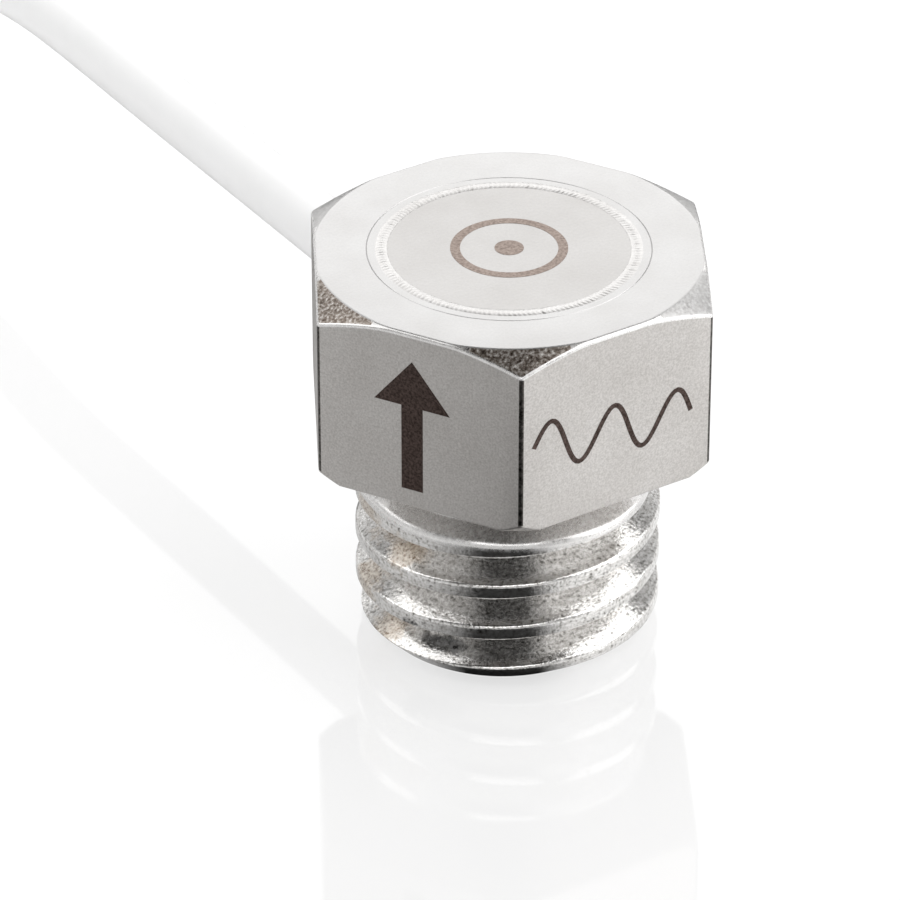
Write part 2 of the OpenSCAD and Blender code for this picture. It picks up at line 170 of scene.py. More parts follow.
def coil_slot(turn):
    """Radius and height of a turn's slot in the coil, counted from the outside of the top layer."""
    layer, place = divmod(min(turn, COIL_WIDE * COIL_HIGH - 1), COIL_WIDE)
    step_in = place if layer % 2 == 0 else COIL_WIDE - 1 - place
    return outer_r - step_in * CABLE_D, COIL_BOTTOM + (COIL_HIGH - 0.5 - layer) * CABLE_D


def coil_path():
    """The wound length, from where the cable enters the coil to where it leaves."""
    path = []
    for k in range(round(COIL_TURNS * STEPS_PER_TURN) + 1):
        turn, part = divmod(k / STEPS_PER_TURN, 1)
        ease = max(0, (part - EASE_START) / (1 - EASE_START))
        ease = ease * ease * (3 - 2 * ease)
        (r0, z0), (r1, z1) = coil_slot(int(turn)), coil_slot(int(turn) + 1)
        r = r0 + (r1 - r0) * ease
        angle = 2 * math.pi * part
        path.append(Vector((coil_x + r * math.cos(angle), COIL_Y + r * math.sin(angle),
                            z0 + (z1 - z0) * ease)))
    return path


cable_path = smooth_route(first_route, ROUTE_STEPS) + coil_path()
cable_path += smooth_route(last_route, ROUTE_STEPS)

# %% [markdown]
# A curve's tube is as thick as its bevel depth times the radius of each point. The depth is one
# here and the points carry the real radius, because Blender measures a curve's box with them.

# %% Cable curve
cable_curve = bpy.data.curves.new("cable", "CURVE")
cable_curve.dimensions = "3D"
cable_curve.bevel_depth = 1
cable_curve.bevel_resolution = 7
cable_curve.use_fill_caps = True
cable_line = cable_curve.splines.new("POLY")
cable_line.points.add(len(cable_path) - 1)
for point, place in zip(cable_line.points, cable_path):
    point.co = (*place, 1)
    point.radius = CABLE_R
cable_line.use_smooth = True
cable = add_object("cable", cable_curve)
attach(cable, "root")
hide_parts("cable_jacket", "cable_coil", "cable_tail")
print("cable points:", len(cable_path))

# %% [markdown]
# The head started as a hexagonal bar. A lathe turned a chamfer on its top and under its seat,
# so each chamfer is a cone that meets the six flats in curved lines. A Boolean of a hexagonal
# prism and a cone would leave sharp edges and thin slivers where the cone just touches a flat.
# Here a circle is extruded ring after ring instead, and each ring takes the radius and height
# that the rounded section has at its own angle. The broken edges are then real geometry.

# %% Sizes of the body, in millimetres
TOP = body_high.z / MM
SEAT = mounts["seat_face"]["pos_m"][2] / MM
FLAT = body_high.y / MM
STUD_R = mounts["stud"]["dims"]["r_mm"]
COVER_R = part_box("cover_disc")[1].x / MM
COVER_T = (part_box("cover_disc")[1].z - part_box("cover_disc")[0].z) / MM
BOARD_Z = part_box("board_adhesive")[0].z / MM
CAVITY_R = COVER_R - 0.4
COUNTERBORE_R = COVER_R + 0.02
WELD_W = 0.24
WELD_DEPTH = 0.08
LINE_R = COVER_R + 0.3
LINE_W = 0.026
LAND_R = LINE_R + 0.4
NECK_LENGTH = 0.82
NECK_R = STUD_R - 0.42
SHOULDER_LENGTH = 0.3
RELIEF_R = STUD_R + 0.12
RELIEF_DEPTH = 0.05
RELIEF_INNER_R = NECK_R - 0.1
TOP_FACE_R = 3.98
SEAT_R = 4.33
TOP_CHAMFER = math.radians(30)
SEAT_CHAMFER = math.radians(45)
EDGE_ROUND = 0.09
CORNER_ROUND = 0.1
print("head from", round(SEAT, 3), "to", round(TOP, 3), "mm, half across flats", round(FLAT, 3))

# %% Outline of the hexagon
HALF_SIDE = math.pi / 6
FLAT_STEPS = 28
CORNER_STEPS = 5
corner_centre = (FLAT - CORNER_ROUND) / math.cos(HALF_SIDE)
corner_start = math.atan2(corner_centre / 2, FLAT)


def hexagon_reach(turn):
    """Distance from the axis to the rounded hexagon, at an angle from the middle of a flat."""
    turn = abs(turn)
    if turn <= corner_start:
        return FLAT / math.cos(turn)
    past = HALF_SIDE - turn
    across = corner_centre * math.sin(past)
    return corner_centre * math.cos(past) + math.sqrt(CORNER_ROUND ** 2 - across ** 2)


def side_turns():
    """Angles across one side, closer together at its corners."""
    corner = [(HALF_SIDE - corner_start) * k / CORNER_STEPS for k in range(CORNER_STEPS)]
    turns = [-HALF_SIDE + turn for turn in corner]
    turns += [corner_start * math.sin(math.pi * (k / FLAT_STEPS - 0.5)) for k in range(FLAT_STEPS)]
    turns += [corner_start + turn for turn in corner]
    return turns


columns = [(math.radians(30 + 60 * side), turn) for side in range(6) for turn in side_turns()]
print("columns round the head:", len(columns))

# %% Section of the head at one angle


def meet(n1, d1, n2, d2):
    """Point where two lines n.p = d cross, in the plane of radius and height."""
    det = n1[0] * n2[1] - n1[1] * n2[0]
    return (d1 * n2[1] - d2 * n1[1]) / det, (n1[0] * d2 - n2[0] * d1) / det


def rounded_edge(reach, cone_r, level, slope, up, steps):
    """Points from an end face, over a turned chamfer and down onto the side, with broken edges."""
    face = (0, up)
    cone = (math.sin(slope), up * math.cos(slope))
    side = (1, 0)
    d_face = up * level
    d_cone = cone[0] * cone_r + cone[1] * level
    first = meet(face, d_face - EDGE_ROUND, cone, d_cone - EDGE_ROUND)
    second = meet(cone, d_cone - EDGE_ROUND, side, reach - EDGE_ROUND)
    if first[0] >= second[0]:
        first = second = meet(face, d_face - EDGE_ROUND, side, reach - EDGE_ROUND)
    points = []
    middle = math.pi / 2 - slope
    for centre, start, stop in ((first, math.pi / 2, middle), (second, middle, 0)):
        for k in range(steps + 1):
            a = start + (stop - start) * k / steps
            points.append((centre[0] + EDGE_ROUND * math.cos(a),
                           centre[1] + up * EDGE_ROUND * math.sin(a)))
    return points


EDGE_STEPS = 4
INNER_RINGS = [(CAVITY_R, TOP - COVER_T), (COUNTERBORE_R, TOP - COVER_T),
               (COUNTERBORE_R, TOP - WELD_DEPTH), (COVER_R + WELD_W / 2, TOP),
               (LINE_R - LINE_W / 2, TOP), (LINE_R, TOP - LINE_W / 2),
               (LINE_R + LINE_W / 2, TOP), (LAND_R, TOP)]


def head_section(reach):
    """Rings of the head at one angle, from the cavity's rim over the top and down to the seat."""
    top_edge = rounded_edge(reach, TOP_FACE_R, TOP, TOP_CHAMFER, 1, EDGE_STEPS)
    seat_edge = rounded_edge(reach, SEAT_R, SEAT, SEAT_CHAMFER, -1, EDGE_STEPS)
    relief = [(RELIEF_R, SEAT), (RELIEF_R, SEAT + RELIEF_DEPTH),
              (RELIEF_INNER_R, SEAT + RELIEF_DEPTH)]
    return INNER_RINGS + top_edge + seat_edge[::-1] + relief


sections = [head_section(hexagon_reach(turn)) for _, turn in columns]
print("rings in the head:", len(sections[0]))

# %% Which finish each ring takes
BODY_FINISHES = 7
(TOP_FINISH, CHAMFER_FINISH, EDGE_HIGHLIGHT_FINISH, FLAT_FINISH, PAINTED_DARK_CORNER_FINISH, INSIDE_FINISH,
 STUD_FINISH) = range(BODY_FINISHES)
INSIDE_RINGS = 3
CHAMFER_RING = len(INNER_RINGS) + EDGE_STEPS + 1
FLAT_RING = CHAMFER_RING + EDGE_STEPS + 1
SLIVER = 0.12
TURN_SLACK = 0.0001
finish_of_ring = [INSIDE_FINISH] * INSIDE_RINGS + [TOP_FINISH] * (CHAMFER_RING - INSIDE_RINGS)
# The rounded edge below the chamfer takes the lighter steel, a painted highlight.
finish_of_ring += [CHAMFER_FINISH] + [EDGE_HIGHLIGHT_FINISH] * EDGE_STEPS
finish_of_ring += [FLAT_FINISH] * (len(sections[0]) - len(finish_of_ring))
corner_columns = {k for k, (_, turn) in enumerate(columns) if abs(turn) > corner_start - TURN_SLACK}
sliver_columns = {k for k, section in enumerate(sections)
                  if section[CHAMFER_RING][0] - section[CHAMFER_RING - 1][0] < SLIVER}
print("columns on corners:", len(corner_columns), "with a thin chamfer:", len(sliver_columns))

# %% Head, ring after ring


def extrude_ring(bm, edges):
    """Extrude a line of edges once. Gives the new edges, the new points and the faces between."""
    made = bmesh.ops.extrude_edge_only(bm, edges=edges)["geom"]
    fresh = {g for g in made if isinstance(g, bmesh.types.BMVert)}
    faces = [g for g in made if isinstance(g, bmesh.types.BMFace)]
    edges = [g for g in made if isinstance(g, bmesh.types.BMEdge) and fresh.issuperset(g.verts)]
    return edges, fresh, faces


def build_head():
    """The head as a bmesh in millimetres, closed at the cavity's floor and inside the stud."""
    bm = bmesh.new()
    bmesh.ops.create_circle(bm, cap_ends=True, segments=len(columns), radius=CAVITY_R)
    column = bm.verts.layers.int.new("column")
    ring = list(bm.verts)
    for k, vert in enumerate(ring):
        vert[column] = k
        angle = sum(columns[k])
        vert.co = (CAVITY_R * math.cos(angle), CAVITY_R * math.sin(angle), BOARD_Z)
    for face in bm.faces:
        face.material_index = INSIDE_FINISH
    edges = list(bm.edges)
    for level in range(len(sections[0])):
        edges, fresh, faces = extrude_ring(bm, edges)
        for vert in fresh:
            r, z = sections[vert[column]][level]
            angle = sum(columns[vert[column]])
            vert.co = (r * math.cos(angle), r * math.sin(angle), z)
        for face in faces:
            face.material_index = finish_of_ring[level]
            # The rounded vertical corners take the near-black steel, a painted dark reflection.
            if level == FLAT_RING and all(v[column] in corner_columns for v in face.verts):
                face.material_index = PAINTED_DARK_CORNER_FINISH
            # A chamfer that is only a thin sliver takes the lighter steel, a painted highlight.
            if level == CHAMFER_RING and all(v[column] in sliver_columns for v in face.verts):
                face.material_index = EDGE_HIGHLIGHT_FINISH
    bmesh.ops.contextual_create(bm, geom=edges)
    bmesh.ops.recalc_face_normals(bm, faces=bm.faces)
    return bm


head = build_head()
print("head faces:", len(head.faces))

# %% [markdown]
# The cable enters through a drilled and counterbored hole in the flat at the back. A Boolean
# is the right tool here, because a drill does the same: a spun cutter is taken out of the head,
# at millimetre scale, before the mesh is made small.

# %% Cable hole
HOLE_R = CABLE_R / MM + 0.045
SEAL_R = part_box("cable_seal")[1].x / MM
SEAL_INNER_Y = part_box("cable_seal")[0].y / MM
CABLE_Z = CABLE_EXIT.z / MM
BIT_END = FLAT + 1
BIT_STEPS = 48


def drill_bit():
    """Stepped cutter on the cable's centre line, as a bmesh in millimetres."""
    bm = bmesh.new()
    outline = [(0, 0), (HOLE_R, 0), (HOLE_R, SEAL_INNER_Y), (SEAL_R, SEAL_INNER_Y),
               (SEAL_R, BIT_END), (0, BIT_END)]
    verts = [bm.verts.new((r, y, CABLE_Z)) for r, y in outline]
    edges = [bm.edges.new(pair) for pair in zip(verts, verts[1:])]
    bmesh.ops.spin(bm, geom=verts + edges, cent=(0, 0, CABLE_Z), axis=(0, 1, 0),
                   angle=2 * math.pi, steps=BIT_STEPS, use_merge=True)
    bmesh.ops.remove_doubles(bm, verts=bm.verts, dist=0.0001)
    bmesh.ops.recalc_face_normals(bm, faces=bm.faces)
    return bm


def temporary(name, bm):
    """A mesh object that only lives for one Boolean."""
    mesh = bpy.data.meshes.new(name)
    bm.to_mesh(mesh)
    for _ in range(BODY_FINISHES):
        mesh.materials.append(None)
    return add_object(name, mesh)


def drilled(bm, cutter):
    """The bmesh with the cutter's shape taken out."""
    work, tool = temporary("work", bm), temporary("tool", cutter)
    cut = work.modifiers.new("hole", "BOOLEAN")
    cut.operation = "DIFFERENCE"
    cut.solver = "EXACT"
    cut.object = tool
    graph = bpy.context.evaluated_depsgraph_get()
    mesh = bpy.data.meshes.new_from_object(work.evaluated_get(graph))
    bm.clear()
    bm.from_mesh(mesh)
    for thing in (work, tool):
        data = thing.data
        bpy.data.objects.remove(thing)
        bpy.data.meshes.remove(data)
    bpy.data.meshes.remove(mesh)
    return bm


head = drilled(head, drill_bit())
print("head faces with the hole:", len(head.faces))

# %% [markdown]
# The stud carries a fine thread, with a pitch as the photograph shows it. One pitch of its
# section, from crest to crest, is a short open line with rounded crest edges that catch the
# light, the upper edge more than the lower. The spin operator turns it about the axis while it
# climbs one pitch for each turn, which is just what the threading tool did. The groove then
# fades out below the head, the end gets its lead-in chamfer, and two cuts square it off. Above
# the thread a shoulder and a narrow neck are extruded ring by ring from the upper cut.

# %% Thread section
PITCH = 1.0
CREST_W = 0.28
ROOT_W = 0.05
FLANK = math.radians(30)
THREAD_DEPTH = (PITCH - CREST_W - ROOT_W) / 2 / math.tan(FLANK)
THREAD_TURN = math.radians(294)
PLAIN_LENGTH = 1.2
STUD_CHAMFER = 0.38
STEPS_ROUND = 144
UPPER_CREST_ROUND = 0.11
LOWER_CREST_ROUND = 0.05
ROOT_ROUND = 0.025
ROUND_STEPS = 4


def round_corner(before, corner, after, radius, steps):
    """Arc that replaces one corner of a line."""
    a = (Vector(before) - Vector(corner)).normalized()
    b = (Vector(after) - Vector(corner)).normalized()
    half = a.angle(b) / 2
    centre = Vector(corner) + (a + b).normalized() * radius / math.sin(half)
    start = Vector(corner) + a * radius / math.tan(half) - centre
    stop = Vector(corner) + b * radius / math.tan(half) - centre
    sweep = start.angle_signed(stop)
    return [centre + Matrix.Rotation(-sweep * k / steps, 2) @ start for k in range(steps + 1)]


def thread_section():
    """Points (radius, height) of one pitch, from crest to crest, with the groove at height 0."""
    crest_edge = (PITCH - CREST_W) / 2
    root_r = STUD_R - THREAD_DEPTH
    corners = [(STUD_R, -PITCH / 2), (STUD_R, -crest_edge), (root_r, -ROOT_W / 2),
               (root_r, ROOT_W / 2), (STUD_R, crest_edge), (STUD_R, PITCH / 2)]
    rounds = [UPPER_CREST_ROUND, ROOT_ROUND, ROOT_ROUND, LOWER_CREST_ROUND]
    points = [Vector(corners[0])]
    for i, radius in enumerate(rounds, 1):
        points += round_corner(*corners[i - 1:i + 2], radius, ROUND_STEPS)
    return points + [Vector(corners[-1])]


print("thread depth in mm:", round(THREAD_DEPTH, 3), "points in one pitch:", len(thread_section()))

# %% Turned thread
START_BELOW = 2 * PITCH
RUNOUT = PITCH / 4
GROOVE_END = SEAT - PLAIN_LENGTH
CHAMFER_BLEND = 0.04
CHAMFER_LOW = -0.2


def spin_thread(bm, offset):
    """Turn one pitch of the section about the axis, from below the end to above the seat."""
    turn_in = Matrix.Rotation(THREAD_TURN, 3, "Z")
    line = []
    for r, u in thread_section():
        vert = bm.verts.new(turn_in @ Vector((r, 0, u - START_BELOW)))
        vert[offset] = u
        line.append(vert)
    edges = [bm.edges.new(pair) for pair in zip(line, line[1:])]
    turns = math.ceil((SEAT + 2 * START_BELOW) / PITCH)
    bmesh.ops.spin(bm, geom=line + edges, cent=(0, 0, 0), axis=(0, 0, 1), angle=2 * math.pi * turns,
                   steps=STEPS_ROUND * turns, dvec=(0, 0, PITCH / STEPS_ROUND))
    bmesh.ops.remove_doubles(bm, verts=bm.verts, dist=0.0005)


def shape_thread(bm, offset):
    """Fade the groove out below the head and turn the lead-in chamfer, with a soft edge."""
    for vert in bm.verts:
        level = vert.co.z - vert[offset]
        fade = min(1, max(0, (GROOVE_END - level) / RUNOUT))
        r = math.hypot(vert.co.x, vert.co.y)
        wanted = STUD_R - (STUD_R - r) * fade
        cone = STUD_R - STUD_CHAMFER + max(vert.co.z, CHAMFER_LOW)
        gap = max(0, CHAMFER_BLEND - abs(wanted - cone))
        wanted = min(wanted, cone) - gap * gap / (4 * CHAMFER_BLEND)
        vert.co.xy *= wanted / r


stud = bmesh.new()
offset = stud.verts.layers.float.new("offset")
spin_thread(stud, offset)
shape_thread(stud, offset)
print("thread faces:", len(stud.faces))

# %% Shoulder and neck
SHOULDER_ROUND = 0.25
SHOULDER_STEPS = 6
NECK_ROUND = 0.12


def neck_line():
    """Points (radius, height) of the shoulder and the neck above the thread, with rounded edges."""
    neck_z = SEAT - NECK_LENGTH
    corners = [(STUD_R, 0), (STUD_R, neck_z - SHOULDER_LENGTH), (NECK_R, neck_z), (NECK_R, SEAT)]
    shoulder = round_corner(*corners[:3], SHOULDER_ROUND, SHOULDER_STEPS)
    neck = round_corner(*corners[1:], NECK_ROUND, ROUND_STEPS)
    return shoulder + neck + [Vector((NECK_R, SEAT + 2 * RELIEF_DEPTH))]


def add_neck(bm, rise):
    """Square off both ends, extrude the neck from the upper one and close the stud."""
    neck_start = rise[0].y
    for level, keep_up in ((0, True), (neck_start, False)):
        bmesh.ops.bisect_plane(bm, geom=bm.verts[:] + bm.edges[:] + bm.faces[:], dist=0.00001,
                               plane_co=(0, 0, level), plane_no=(0, 0, 1),
                               clear_inner=keep_up, clear_outer=not keep_up)
    edges = [e for e in bm.edges if e.is_boundary and e.verts[0].co.z > neck_start / 2]
    for ring_r, ring_z in rise[1:]:
        edges, fresh, _ = extrude_ring(bm, edges)
        for vert in fresh:
            r = math.hypot(vert.co.x, vert.co.y)
            vert.co.xy *= min(r, ring_r) / r
            vert.co.z = ring_z
    bmesh.ops.holes_fill(bm, edges=[e for e in bm.edges if e.is_boundary], sides=0)
    bmesh.ops.recalc_face_normals(bm, faces=bm.faces)
    for face in bm.faces:
        # The shoulder and the neck take the lighter steel, a painted highlight.
        on_neck = face.calc_center_median().z > neck_start
        face.material_index = EDGE_HIGHLIGHT_FINISH if on_neck else STUD_FINISH


add_neck(stud, neck_line())
print("stud faces:", len(stud.faces))

# %% Body object
SHARP_ANGLE = math.radians(38)


def piece_from(name, *parts):
    """One object from bmeshes in millimetres, at the origin, riding on the CAD model."""
    mesh = bpy.data.meshes.new(name)
    bm = bmesh.new()
    for part in parts:
        part.to_mesh(mesh)
        bm.from_mesh(mesh)
        part.free()
    bmesh.ops.scale(bm, vec=(MM, MM, MM), verts=bm.verts)
    for face in bm.faces:
        face.smooth = True
    bm.to_mesh(mesh)
    bm.free()
    mesh.set_sharp_from_angle(angle=SHARP_ANGLE)
    thing = add_object(name, mesh)
    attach(thing, "root")
    print(name, "faces:", len(mesh.polygons))
    return thing


body = piece_from("sensor_body", head, stud)
body.modifiers.new("flat_shading", "WEIGHTED_NORMAL").keep_sharp = True
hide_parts("housing")

# %% [markdown]
# The cover is fused in by a pulsed laser, and each pulse leaves a small crescent that overlaps
# the one before. A spun ring gives the bead, and its upper points then rise to a low crown with
# one small hump for each pulse. The humps bend back across the bead and differ a little in height.

# %% Weld bead
PULSES = 168
STEPS_PER_PULSE = 7
WELD_CROWN = 0.016
BEAD_PLACES = [k / 5 - 1 for k in range(11)]
UNDERSIDE = 2
CRESCENT_BEND = 0.45
LIFT_MEAN = 0.8
LIFT_SPREAD = 0.5
RIPPLE_BASE = 0.45
RIPPLE_SHARE = 0.55
RIPPLE_POWER = 0.7
NOISE_STEP = 1.7


def build_weld():
    """Rippled ring between cover and head, as a bmesh in millimetres."""
    bm = bmesh.new()
    across = bm.verts.layers.float.new("across")
    points = [(t, TOP) for t in BEAD_PLACES] + [(0, TOP - WELD_DEPTH)]
    line = []
    for t, z in points:
        vert = bm.verts.new((COVER_R + t * WELD_W / 2, 0, z))
        vert[across] = t if z == TOP else UNDERSIDE
        line.append(vert)
    edges = [bm.edges.new(pair) for pair in zip(line, line[1:] + line[:1])]
    bmesh.ops.spin(bm, geom=line + edges, cent=(0, 0, 0), axis=(0, 0, 1), angle=2 * math.pi,
                   steps=PULSES * STEPS_PER_PULSE, use_merge=True)
    for vert in bm.verts:
        t = vert[across]
        if t == UNDERSIDE:
            continue
        pulse = math.atan2(vert.co.y, vert.co.x) / (2 * math.pi) * PULSES - CRESCENT_BEND * t * t
        chance = noise.noise(Vector((math.floor(pulse) * NOISE_STEP, 0.3, 0.9)))
        lift = LIFT_MEAN + LIFT_SPREAD * chance
        ripple = lift * math.sin(math.pi * (pulse % 1)) ** RIPPLE_POWER
        vert.co.z += WELD_CROWN * (1 - t * t) * (RIPPLE_BASE + RIPPLE_SHARE * ripple)
    bmesh.ops.recalc_face_normals(bm, faces=bm.faces)
    return bm


weld = piece_from("rippled_weld", build_weld())
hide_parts("weld_bead")

# %% [markdown]
# A laser marks three plain signs on such a sensor: an arrow for the sensing axis, a wave for
# vibration, and a ring with a dot where the axis points out of the lid. Each is drawn flat in
# millimetres, extruded to a very thin layer and then laid onto its face by a matrix.

# %% Flat signs
WAVE_STEPS = 60
WAVES = 2.5
WAVE_REACH = 1.9
WAVE_HEIGHT = 0.55
WAVE_STROKE = 0.11


def arrow_sign():
    """Upright arrow, as a flat bmesh."""
    bm = bmesh.new()
    half = [(0.24, -1.5), (0.24, 0.45), (0.85, 0.45)]
    outline = half + [(0, 1.5)] + [(-x, y) for x, y in half[::-1]]
    bm.faces.new([bm.verts.new((x, y, 0)) for x, y in outline])
    return bm


def wave_sign():
    """Wavy stroke, as a flat bmesh."""
    bm = bmesh.new()
    number = bm.verts.layers.int.new("number")
    line = []
    for k in range(WAVE_STEPS + 1):
        phase = 2 * math.pi * WAVES * k / WAVE_STEPS
        slope = WAVE_HEIGHT * math.cos(phase) * math.pi * WAVES / WAVE_REACH
        across = Vector((-slope, 1, 0)).normalized() * WAVE_STROKE
        centre = Vector((WAVE_REACH * (2 * k / WAVE_STEPS - 1), WAVE_HEIGHT * math.sin(phase), 0))
        line.append((centre - across / 2, across))
    verts = [bm.verts.new(place) for place, _ in line]
    for k, vert in enumerate(verts):
        vert[number] = k
    edges = [bm.edges.new(pair) for pair in zip(verts, verts[1:])]
    for vert in extrude_ring(bm, edges)[1]:
        vert.co += line[vert[number]][1]
    return bm


def ring_sign():
    """Ring with a dot, as a flat bmesh."""
    bm = bmesh.new()
    for radius in (1.0, 1.2):
        bmesh.ops.create_circle(bm, segments=64, radius=radius)
    bmesh.ops.bridge_loops(bm, edges=bm.edges[:])
    bmesh.ops.create_circle(bm, cap_ends=True, segments=32, radius=0.3)
    return bm


arrow, wave, ring = arrow_sign(), wave_sign(), ring_sign()
print("faces of the signs:", [len(sign.faces) for sign in (arrow, wave, ring)])

# %% Marks on their faces
MARK_T = 0.006
MARK_SUNK = MARK_T / 3
UPWARD = Vector((0, 0, 1))
ARROW_ASIDE = 0.15
ARROW_Z = 6.5
WAVE_X = -0.1
WAVE_Z = 6.4
WAVE_LEAN = math.radians(-5)


def lay_sign(name, bm, centre, outward, lean=0.0):
    """One thin mark on a face of the part, upright on a wall and square to the view on the lid."""
    upright = UPWARD if abs(outward.z) < 0.5 else -direction(CAMERA_TURN, 0)
    frame_axes = Matrix((upright.cross(outward), upright, outward)).transposed()
    made = bmesh.ops.extrude_face_region(bm, geom=bm.faces[:], use_keep_orig=True)["geom"]
    raised = [g for g in made if isinstance(g, bmesh.types.BMVert)]
    bmesh.ops.translate(bm, vec=(0, 0, MARK_T), verts=raised)
    bmesh.ops.rotate(bm, cent=(0, 0, 0), matrix=Matrix.Rotation(lean, 3, "Z"), verts=bm.verts)
    bmesh.ops.rotate(bm, cent=(0, 0, 0), matrix=frame_axes, verts=bm.verts)
    bmesh.ops.translate(bm, vec=Vector(centre) - outward * MARK_SUNK, verts=bm.verts)
    bmesh.ops.recalc_face_normals(bm, faces=bm.faces)
    return piece_from(name, bm)


left_wall = direction(math.radians(-150), 0)
front_wall = direction(math.radians(-90), 0)
left_centre = left_wall * FLAT - UPWARD.cross(left_wall) * ARROW_ASIDE + UPWARD * ARROW_Z
axis_arrow = lay_sign("axis_arrow", arrow, left_centre, left_wall)
wave_mark = lay_sign("wave_mark", wave, (WAVE_X, -FLAT, WAVE_Z), front_wall, WAVE_LEAN)
axis_ring = lay_sign("axis_ring", ring, (0, 0, TOP), UPWARD)

# %% [markdown]
# Every finish is a small node network on object coordinates, scaled so that one unit of a
# texture is a millimetre. A few helpers keep the networks short: a noise for grain, a ramp
# that turns it into colours, and a bump that makes it catch the light.

# %% Helpers for finishes


def start_finish(name):
    """A new material, its nodes, its shader and object coordinates in millimetres."""
    finish = bpy.data.materials.new(name)
    finish.use_nodes = True
    tree = finish.node_tree
    place = tree.nodes.new("ShaderNodeTexCoord")
    size = tree.nodes.new("ShaderNodeMapping")
    size.inputs["Scale"].default_value = (1 / MM, 1 / MM, 1 / MM)
    tree.links.new(place.outputs["Object"], size.inputs["Vector"])
    return finish, tree, tree.nodes["Principled BSDF"], size.outputs["Vector"]


def add_noise(tree, vector, per_mm, detail=2.0, rough=0.5):
    """Noise with so many grains to the millimetre."""
    node = tree.nodes.new("ShaderNodeTexNoise")
    node.inputs["Scale"].default_value = per_mm
    node.inputs["Detail"].default_value = detail
    node.inputs["Roughness"].default_value = rough
    tree.links.new(vector, node.inputs["Vector"])
    return node.outputs[0]


def add_ramp(tree, value, stops):
    """Colours spread along a value, from (place, colour) pairs."""
    node = tree.nodes.new("ShaderNodeValToRGB")
    ramp = node.color_ramp
    while len(ramp.elements) < len(stops):
        ramp.elements.new(0.5)
    for element, (place, colour) in zip(ramp.elements, stops):
        element.position = place
        element.color = (*colour, 1)
    tree.links.new(value, node.inputs[0])
    return node.outputs[0]


def add_range(tree, value, low, high, from_low=0.3, from_high=0.7):
    """A value stretched from one span to another."""
    node = tree.nodes.new("ShaderNodeMapRange")
    node.inputs["From Min"].default_value = from_low
    node.inputs["From Max"].default_value = from_high
    node.inputs["To Min"].default_value = low
    node.inputs["To Max"].default_value = high
    tree.links.new(value, node.inputs["Value"])
    return node.outputs[0]


def feed(tree, socket, value):
    """Join an output to a socket, or set the socket to a fixed colour or number."""
    if isinstance(value, bpy.types.NodeSocket):
        tree.links.new(value, socket)
    elif isinstance(value, tuple):
        socket.default_value = (*value, 1)
    else:
        socket.default_value = value


def add_mix(tree, share, first, second, blend="MIX"):
    """Two colours mixed by a share, each an output or fixed."""
    node = tree.nodes.new("ShaderNodeMix")
    node.data_type = "RGBA"
    node.blend_type = blend
    feed(tree, node.inputs[0], share)
    feed(tree, node.inputs[6], first)
    feed(tree, node.inputs[7], second)
    return node.outputs[2]


def add_math(tree, operation, first, second):
    """Arithmetic on two values, each an output or a number."""
    node = tree.nodes.new("ShaderNodeMath")
    node.operation = operation
    feed(tree, node.inputs[0], first)
    feed(tree, node.inputs[1], second)
    return node.outputs[0]


def add_measure(tree, operation, vector, fixed):
    """Distance to a fixed point or dot product with a fixed direction, in millimetres."""
    node = tree.nodes.new("ShaderNodeVectorMath")
    node.operation = operation
    tree.links.new(vector, node.inputs[0])
    node.inputs[1].default_value = fixed
    return node.outputs["Value"]


def add_bump(tree, shader, height, depth_mm, strength):
    """Fine relief of a given depth on the shader's normal."""
    node = tree.nodes.new("ShaderNodeBump")
    node.inputs["Distance"].default_value = depth_mm * MM
    node.inputs["Strength"].default_value = strength
    tree.links.new(height, node.inputs["Height"])
    tree.links.new(node.outputs[0], shader.inputs["Normal"])


# %% Turned and milled steel
FINE_RELIEF = (0.002, 0.2)
ROUGH_RELIEF = (0.003, 0.3)


def grained_steel(name, dark, light, per_mm, rough, relief):
    """Steel with a grain between two tones, two roughnesses and a relief (depth in mm, strength)."""
    finish, tree, shader, vector = start_finish(name)
    grain = add_noise(tree, vector, per_mm, 3, 0.6)
    cloud = add_noise(tree, vector, 0.7, 3, 0.55)
    tone = add_ramp(tree, grain, [(0.32, dark), (0.68, light)])
    shade = add_ramp(tree, cloud, [(0.3, (0.92, 0.915, 0.91)), (0.7, (1, 1, 1))])
    tree.links.new(add_mix(tree, 1.0, tone, shade, "MULTIPLY"), shader.inputs["Base Color"])
    shader.inputs["Metallic"].default_value = 1
    tree.links.new(add_range(tree, grain, *rough), shader.inputs["Roughness"])
    add_bump(tree, shader, grain, *relief)
    return finish


top_steel = grained_steel("top_steel", (0.54, 0.535, 0.53), (0.62, 0.615, 0.61), 20,
                          (0.34, 0.44), FINE_RELIEF)
flat_steel = grained_steel("flat_steel", (0.5, 0.48, 0.46), (0.7, 0.68, 0.66), 24,
                           (0.36, 0.46), ROUGH_RELIEF)
# Painted highlight: a lighter copy of the steel for the broken edges, the thin chamfer slivers, the
# shoulder and the neck. The edges' rounding is real geometry; their extra brightness is painted.
edge_highlight_steel = grained_steel("edge_highlight_steel", (0.7, 0.69, 0.68), (0.88, 0.87, 0.86), 12,
                           (0.2, 0.36), ROUGH_RELIEF)
